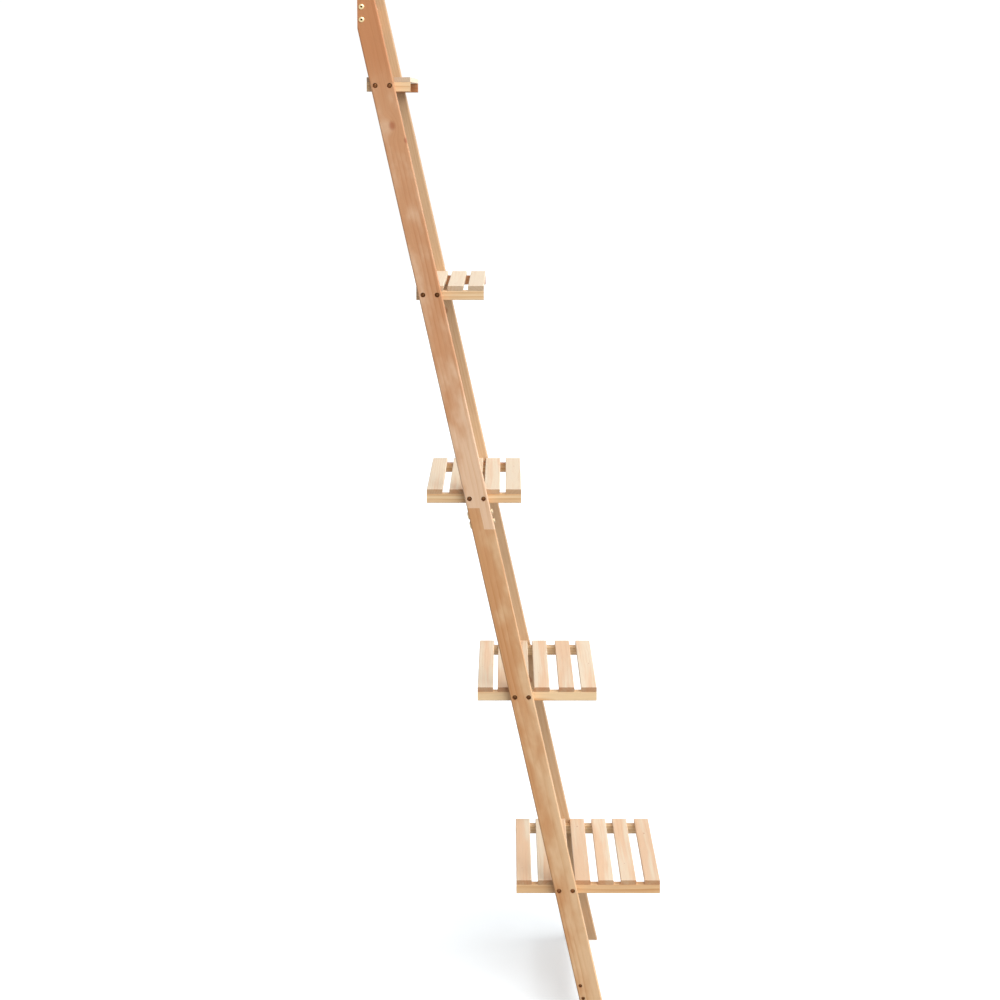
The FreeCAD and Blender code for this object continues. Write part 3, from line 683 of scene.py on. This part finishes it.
def recessed_crown(mouth, head_radius, rim, crown, recess_depth):
    """Rows of radii and heights from the middle of a recess outwards: its floor, its mouth, whose
    radius follows the outline, then the crown out to the rim, whose height is
    rim + (crown - rim)*sqrt(1 - s*s) for s from the axis to the rim."""
    across = np.linspace(0, 1, 9)[:, None]
    radii = mouth + (head_radius - mouth)*np.sin(across*math.pi/2)
    share = np.minimum(radii/head_radius, 1)
    top = rim + (crown - rim)*np.sqrt(1 - share*share)
    floor = np.full_like(mouth, top[0].min() - recess_depth)
    return (np.concatenate([[0*mouth, mouth*RECESS_TAPER], radii]),
            np.concatenate([[floor, floor], top]))


def turned_below(angles, upper, lower):
    """Closes the upper rows with round ones below them, each given as a radius and a height."""
    rings = np.array(lower)[:, :, None]*np.ones(len(angles))
    radii, heights = (np.concatenate([rows, rings[:, part]]) for part, rows in enumerate(upper))
    return closed_grid(turned_points(angles, radii, heights))


def headed_fastener(outline, head_radius, rim, crown, recess_depth, shank_radius, length, tip,
                    flat=False):
    """One screw or bolt about Z, its head seated on Z = 0 and its shank below, whose end is a cone
    as long as the tip, or flat where that is 0. A flat head's underside is a cone too."""
    angles, mouth = outline
    upper = recessed_crown(mouth, head_radius, rim, crown, recess_depth)
    neck = shank_radius - head_radius if flat else 0.0
    seat = [] if flat else [(head_radius, 0.0)]
    return turned_below(angles, upper, seat + [(shank_radius, neck), (shank_radius, tip - length),
                                               (0.0, -length)])


def cap_nut(outline, head_radius, rim, crown, recess_depth, bore, bore_depth):
    """A domed nut about Z with a driver recess in its crown, seated on Z = 0, its blind bore open
    below: the bolt's shank fills the bore, so its wall meets the seat at the bore's radius."""
    angles, mouth = outline
    upper = recessed_crown(mouth, head_radius, rim, crown, recess_depth)
    return turned_below(angles, upper, [(head_radius, 0.0), (bore, 0.0), (bore, bore_depth),
                                        (0.0, bore_depth)])


SHARP = math.radians(32)              # edges sharper than this stay crisp


def place_copies(name, pattern, places, material, replaced, painted_socket_shade=None):
    """One object of many copies: the pattern's Z axis is turned to each facing, its origin moved
    to each seat, and each copy turned about its own axis so that no two recesses line up. A
    recess whose inside takes a darker material, as painted shade, is the first ring of quads and of
    triangles."""
    points, quads, triangles = pattern
    all_points, all_quads, all_triangles = [], [], []
    for number, (seat, facing) in enumerate(places):
        spin = Matrix.Rotation(spread(number, 0, math.pi/2, 0.3), 3, "Z")
        turn = np.array(facing.to_track_quat("Z", "Y").to_matrix() @ spin)
        all_points.append(points @ turn.T + np.array(seat))
        all_quads.append(quads + number*len(points))
        all_triangles.append(triangles + number*len(points))
    faces = np.concatenate(all_quads).tolist() + np.concatenate(all_triangles).tolist()
    mesh = bpy.data.meshes.new(name)
    mesh.from_pydata(np.concatenate(all_points).tolist(), [], faces)
    mesh.polygons.foreach_set("use_smooth", [True]*len(mesh.polygons))
    mesh.set_sharp_from_angle(angle=SHARP)
    mesh.materials.append(material)
    if painted_socket_shade:
        mesh.materials.append(painted_socket_shade)
        ring = len(triangles)//2
        inside = [np.arange(each*len(places)) % each < ring
                  for each in (len(quads), len(triangles))]
        mesh.polygons.foreach_set("material_index", np.concatenate(inside).astype(np.int32))
    mesh.validate()
    piece = bpy.data.objects.new(name, mesh)
    bpy.context.scene.collection.objects.link(piece)
    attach(piece, ROOT)
    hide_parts(replaced)
    return piece


def both_sides(seats, facing):
    """Seats on the left, and their twins across the middle, which face the other way."""
    def across(vector):
        return Vector((-vector.x, vector.y, vector.z))
    return [pair for seat in seats for pair in ((seat, facing), (across(seat), across(facing)))]


HEAD_RIM = 0.6*MM                     # straight side of every round head, below its dome
WOOD_SCREW = {"head_radius": 3.8*MM, "rim": HEAD_RIM, "crown": 2.4*MM, "recess_depth": 1.3*MM,
              "shank_radius": 2*MM, "tip": 3*MM}
FOOT_SCREW = dict(WOOD_SCREW, head_radius=3*MM)
RAIL_SCREW_LENGTH = 24*MM
BRONZED_ROUGHNESS = 0.45
# How many times as bright as the bronze colour the screws are drawn, by shelf, and for the foot.
SCREW_BRIGHTNESS = {1: 1.5, 2: 1.0, 3: 1.1, 4: 1.0, 5: 1.7}
FOOT_SCREW_BRIGHTNESS = 1.4
SMALL_RECESS = 0.8                    # of the usual recess, for the top, foot and slat screws
CROSS_SCREW_LENGTH = 42*MM
CAP_SCREW = dict(WOOD_SCREW, head_radius=4.75*MM, recess_depth=3.2*MM)
SLAT_SCREW = {"head_radius": 3*MM, "rim": 0, "crown": 0, "recess_depth": 1.0*MM,
              "shank_radius": 1.5*MM, "length": 21.5*MM, "tip": 1.5*MM, "flat": True}
LAP_BOLT = {"head_radius": 6.5*MM, "rim": HEAD_RIM, "crown": 2.6*MM, "recess_depth": 1.5*MM,
            "shank_radius": 3*MM, "tip": 0.0}
CAP_NUT = {"head_radius": 5.25*MM, "rim": 1.2*MM, "crown": 3.6*MM, "recess_depth": 1.0*MM,
           "bore": 3.15*MM, "bore_depth": 1.5*MM}


def level_pair_places(name, radius, crown):
    """Seats of the screws of one group whose heads face left and right. Its box ends at the
    outermost crowns and at the heads' edges."""
    low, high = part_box(name)
    seat_x = low.x + crown
    middle_y, middle_z = (low.y + high.y)/2, (low.z + high.z)/2
    half_y, half_z = (high.y - low.y)/2 - radius, (high.z - low.z)/2 - radius
    seats = [Vector((seat_x, middle_y + sign*half_y, middle_z + sign*half_z)) for sign in (-1, 1)]
    return both_sides(seats, LEFTWARD)


class LADDERSHELF_OT_rail_screws(bpy.types.Operator):
    """Adds the pairs of bronzed screws, sunk in the rails, that hold each bearer"""

    bl_idname = "laddershelf.rail_screws"
    bl_label = "Rail Screws"

    def execute(self, context):
        hardware = context.scene.laddershelf_hardware
        outline = cross_outline(hardware.cross_recess_width)
        pattern = headed_fastener(outline, length=RAIL_SCREW_LENGTH, **WOOD_SCREW)
        for shelf in SHELVES:
            group = f"shelf_{shelf}_rail_screws"
            material = plated_steel(f"bronzed_steel_{group}",
                                    shaded(hardware.bronze, SCREW_BRIGHTNESS[shelf]),
                                    BRONZED_ROUGHNESS)
            places = level_pair_places(group, WOOD_SCREW["head_radius"], WOOD_SCREW["crown"])
            place_copies(f"bronzed_{group}", pattern, places, material, group)
        return {"FINISHED"}


class LADDERSHELF_OT_slat_screws(bpy.types.Operator):
    """Adds the countersunk screws that hold the slats from below"""

    bl_idname = "laddershelf.slat_screws"
    bl_label = "Slat Screws"

    def execute(self, context):
        hardware = context.scene.laddershelf_hardware
        material = plated_steel("bronzed_steel_slat_screw", hardware.bronze, BRONZED_ROUGHNESS)
        pattern = headed_fastener(cross_outline(SMALL_RECESS*hardware.cross_recess_width),
                                  **SLAT_SCREW)
        down = Vector((0, 0, -1))
        for shelf in SHELVES:
            group = f"shelf_{shelf}_slat_screws"
            low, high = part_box(group)
            middles = [sum(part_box(slat), Vector()).y/2
                       for slat in slats_with(f"shelf_{shelf}_slat_")]
            seats = [Vector((low.x + SLAT_SCREW["head_radius"], y, low.z)) for y in middles]
            place_copies(f"bronzed_{group}", pattern, both_sides(seats, down), material,
                         group)
        return {"FINISHED"}


class LADDERSHELF_OT_cross_rail_screws(bpy.types.Operator):
    """Adds the plated socket screws at the top and the sunk screws at the foot"""

    bl_idname = "laddershelf.cross_rail_screws"
    bl_label = "Cross Rail Screws"

    def execute(self, context):
        hardware = context.scene.laddershelf_hardware
        kinds = (("top_cross_rail_screws", CAP_SCREW,
                  hex_outline(SMALL_RECESS*hardware.hex_recess_width),
                  plated_steel("bright_zinc_socket_screw", hardware.zinc, 0.3, stain=0.12),
                  # painted shade: darker steel colour inside the sockets
                  plated_steel("painted_shade_in_socket", hardware.socket, 0.6), "zinc_screw"),
                 ("bottom_cross_rail_screws", FOOT_SCREW,
                  cross_outline(SMALL_RECESS*hardware.cross_recess_width),
                  plated_steel("bronzed_steel_foot_screw",
                               shaded(hardware.bronze, FOOT_SCREW_BRIGHTNESS), BRONZED_ROUGHNESS),
                  None, "bronze_screw"))
        for group, sizes, outline, material, inside, slot in kinds:
            pattern = headed_fastener(outline, length=CROSS_SCREW_LENGTH, **sizes)
            places = level_pair_places(group, sizes["head_radius"], sizes["crown"])
            place_copies(f"plated_{group}", pattern, places, material, group, inside)
        return {"FINISHED"}


def lap_seats(group, radius, face):
    """Seats of the lap's fasteners: the middles of the rails' thickness, at a depth along the
    bolts, and a head's radius in from where the group ends up the rail."""
    low, high = reach(group, UP_THE_RAIL, left_half=True)
    middle_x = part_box(group)[0].x + radius
    return [Vector((middle_x, 0, 0)) + UP_THE_RAIL*up + REARWARD*face
            for up in (low + radius, high - radius)]


class LADDERSHELF_OT_lap_bolts(bpy.types.Operator):
    """Adds the bolts that hold the rails' half-laps, with their domed nuts at the front"""

    bl_idname = "laddershelf.lap_bolts"
    bl_label = "Lap Bolts and Nuts"

    def execute(self, context):
        hardware = context.scene.laddershelf_hardware
        material = plated_steel("brass_plated_bolt", hardware.brass, 0.35, stain=0.2)
        outline = hex_outline(hardware.hex_recess_width)
        tip, crown = reach("lap_bolts", REARWARD)
        rear_face = crown - LAP_BOLT["crown"]
        seats = lap_seats("lap_bolts", LAP_BOLT["head_radius"], rear_face)
        place_copies("plated_lap_bolts",
                     headed_fastener(outline, length=rear_face - tip, **LAP_BOLT),
                     both_sides(seats, REARWARD), material, "lap_bolts")
        front_face = reach("lap_nuts", REARWARD)[0] + CAP_NUT["crown"]
        seats = lap_seats("lap_nuts", CAP_NUT["head_radius"], front_face)
        place_copies("plated_lap_nuts", cap_nut(outline, **CAP_NUT),
                     both_sides(seats, -REARWARD), material, "lap_nuts")
        return {"FINISHED"}


# ---- stage ----------------------------------------------------------------------------------

FLOOR_SIZE = 40.0                     # metres: its edges meet the white far from the shelf
AMBIENT = 0.50                        # even light from all round, as a share of white
BACKDROP = 1.03                       # just past white: at 1 an edge of the view was off white
# Each lamp: where its light comes from, its strength, and how wide it looks from the shelf.
LAMPS = {"key_light": (Vector((-0.72, -0.35, 0.60)), 1.85, math.radians(40)),
         "front_light": (Vector((-0.12, -0.95, 0.28)), 2.6, math.radians(60))}


def seen_directly(tree):
    """1 for what is seen, by the camera or in gloss or glass, and 0 for all other light."""
    path = add_node(tree, "ShaderNodeLightPath")
    two = add_node(tree, "ShaderNodeMath", {0: path.outputs["Is Camera Ray"],
                                            1: path.outputs["Is Glossy Ray"]}, operation="MAXIMUM")
    return add_node(tree, "ShaderNodeMath", {0: two.outputs[0],
                                             1: path.outputs["Is Transmission Ray"]},
                    operation="MAXIMUM").outputs[0]


def white_world():
    """Lights the shelf evenly, and is plain white to the eye."""
    world = bpy.data.worlds.new("white_studio")
    world.use_nodes = True
    tree = world.node_tree
    tree.nodes.clear()
    strength = add_node(tree, "ShaderNodeMapRange",
                        {"Value": seen_directly(tree), "To Min": AMBIENT, "To Max": BACKDROP})
    light = add_node(tree, "ShaderNodeBackground",
                     {"Color": (1, 1, 1, 1), "Strength": strength.outputs[0]})
    add_node(tree, "ShaderNodeOutputWorld", {"Surface": light.outputs[0]})
    bpy.context.scene.world = world


FLOOR_BOUNCE = linear("989898")       # what the floor sends back up onto the shelf
FLOOR_GLOW = 0.30                     # where it is seen directly, so that it meets the white


def matt_floor(colour):
    """Matt white paper: it keeps the shelf's shadow, and elsewhere meets the white behind it. It
    throws less light up than it shows, as a floor does that ends at the edge of a studio."""
    material, tree, shader = new_material("matt_white_paper", Roughness=0.9,
                                          Specular_IOR_Level=0.0)
    seen = seen_directly(tree)
    sheet = add_node(tree, "ShaderNodeMix", {0: seen, 6: opaque(FLOOR_BOUNCE), 7: opaque(colour)},
                     data_type="RGBA")
    tree.links.new(sheet.outputs[2], shader.inputs["Base Color"])
    lift = add_node(tree, "ShaderNodeMapRange",
                    {"Value": seen, "To Min": 0.0, "To Max": FLOOR_GLOW})
    glow = add_node(tree, "ShaderNodeEmission", {"Strength": lift.outputs[0]})
    both = add_node(tree, "ShaderNodeAddShader", {0: shader.outputs[0], 1: glow.outputs[0]})
    output = next(node for node in tree.nodes if node.type == "OUTPUT_MATERIAL")
    tree.links.new(both.outputs[0], output.inputs["Surface"])
    return material


class LADDERSHELF_OT_stage(bpy.types.Operator):
    """Sets the floor, the soft light and the camera"""

    bl_idname = "laddershelf.stage"
    bl_label = "Stage"

    def execute(self, context):
        scene = context.scene
        stage = scene.laddershelf_stage
        half = FLOOR_SIZE/2
        mesh = bpy.data.meshes.new("floor")
        mesh.from_pydata([(-half, -half, 0), (half, -half, 0), (half, half, 0), (-half, half, 0)],
                         [], [(0, 1, 2, 3)])
        mesh.materials.append(matt_floor(stage.floor_colour))
        floor = bpy.data.objects.new("floor", mesh)
        scene.collection.objects.link(floor)
        white_world()

        for name, (direction, strength, width) in LAMPS.items():
            sun = bpy.data.lights.new(name, "SUN")
            sun.energy = strength
            sun.angle = width
            lamp = bpy.data.objects.new(name, sun)
            lamp.rotation_euler = direction.to_track_quat("Z", "Y").to_euler()
            scene.collection.objects.link(lamp)

        view = bpy.data.cameras.new("camera")
        view.sensor_width = 36
        view.lens = stage.camera_lens
        view.clip_start, view.clip_end = 0.1, 100
        camera = bpy.data.objects.new("camera", view)
        level = math.cos(stage.camera_pitch)
        looking = Vector((level*math.cos(stage.camera_turn), level*math.sin(stage.camera_turn),
                          -math.sin(stage.camera_pitch)))
        camera.location = stage.camera_place
        camera.rotation_euler = looking.to_track_quat("-Z", "Y").to_euler()
        scene.collection.objects.link(camera)
        scene.camera = camera
        scene.view_settings.view_transform = "Standard"
        return {"FINISHED"}


# ---- add-on ---------------------------------------------------------------------------------

GROUPS = (("laddershelf_wood", LADDERSHELF_PG_wood),
          ("laddershelf_hardware", LADDERSHELF_PG_hardware),
          ("laddershelf_stage", LADDERSHELF_PG_stage))
OPERATORS = (LADDERSHELF_OT_rails, LADDERSHELF_OT_cross_rails, LADDERSHELF_OT_bearers,
             LADDERSHELF_OT_slats, LADDERSHELF_OT_rail_screws, LADDERSHELF_OT_slat_screws,
             LADDERSHELF_OT_cross_rail_screws, LADDERSHELF_OT_lap_bolts, LADDERSHELF_OT_stage)


class LADDERSHELF_PT_panel(bpy.types.Panel):
    """Lists the shelf's pieces, sizes and colours"""

    bl_idname = "LADDERSHELF_PT_panel"
    bl_label = "Ladder Shelf"
    bl_space_type = "VIEW_3D"
    bl_region_type = "UI"
    bl_category = "Ladder Shelf"

    def draw(self, context):
        for name, group in GROUPS:
            box = self.layout.box()
            for setting in group.__annotations__:
                box.prop(getattr(context.scene, name), setting)
        for operator in OPERATORS:
            self.layout.operator(operator.bl_idname)


def register():
    for item in (*(group for _, group in GROUPS), *OPERATORS, LADDERSHELF_PT_panel):
        bpy.utils.register_class(item)
    for name, group in GROUPS:
        setattr(bpy.types.Scene, name, PointerProperty(type=group))


def unregister():
    for name, _ in GROUPS:
        delattr(bpy.types.Scene, name)
    for item in (LADDERSHELF_PT_panel, *OPERATORS, *(group for _, group in GROUPS)):
        bpy.utils.unregister_class(item)


def main():
    register()
    for operator in OPERATORS:
        getattr(bpy.ops.laddershelf, operator.bl_idname.split(".")[1])()


if __name__ == "__main__":
    main()
